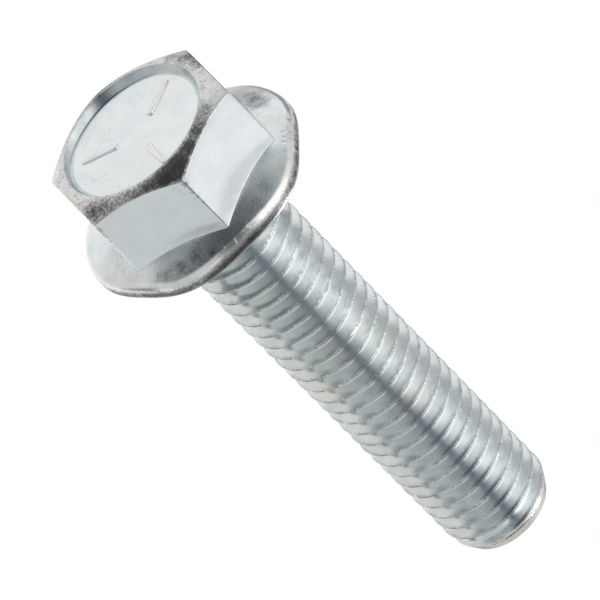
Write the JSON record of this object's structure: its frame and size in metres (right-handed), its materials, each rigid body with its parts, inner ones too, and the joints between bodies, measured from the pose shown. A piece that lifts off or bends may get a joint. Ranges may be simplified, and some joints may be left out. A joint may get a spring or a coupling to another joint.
{
  "type": "flange bolt",
  "caption": "Hexagon flange bolt with a shallow recessed head top carrying raised radial grade marks, a coned flange and a coarse thread along the whole shank, for clamping parts together.",
  "frame": {"origin": "on the bolt's axis at the top face of the head, which the bolt stands on", "axes": "+Z along the axis from the head to the point, -Y through one corner of the hexagon"},
  "size_m": [0.0264, 0.0252, 0.0677],
  "materials": {
    "steel": "zinc-plated, clear blue passivated"
  },
  "bodies": {
    "root": {"flange_bolt": "steel"}
  },
  "joints": []
}
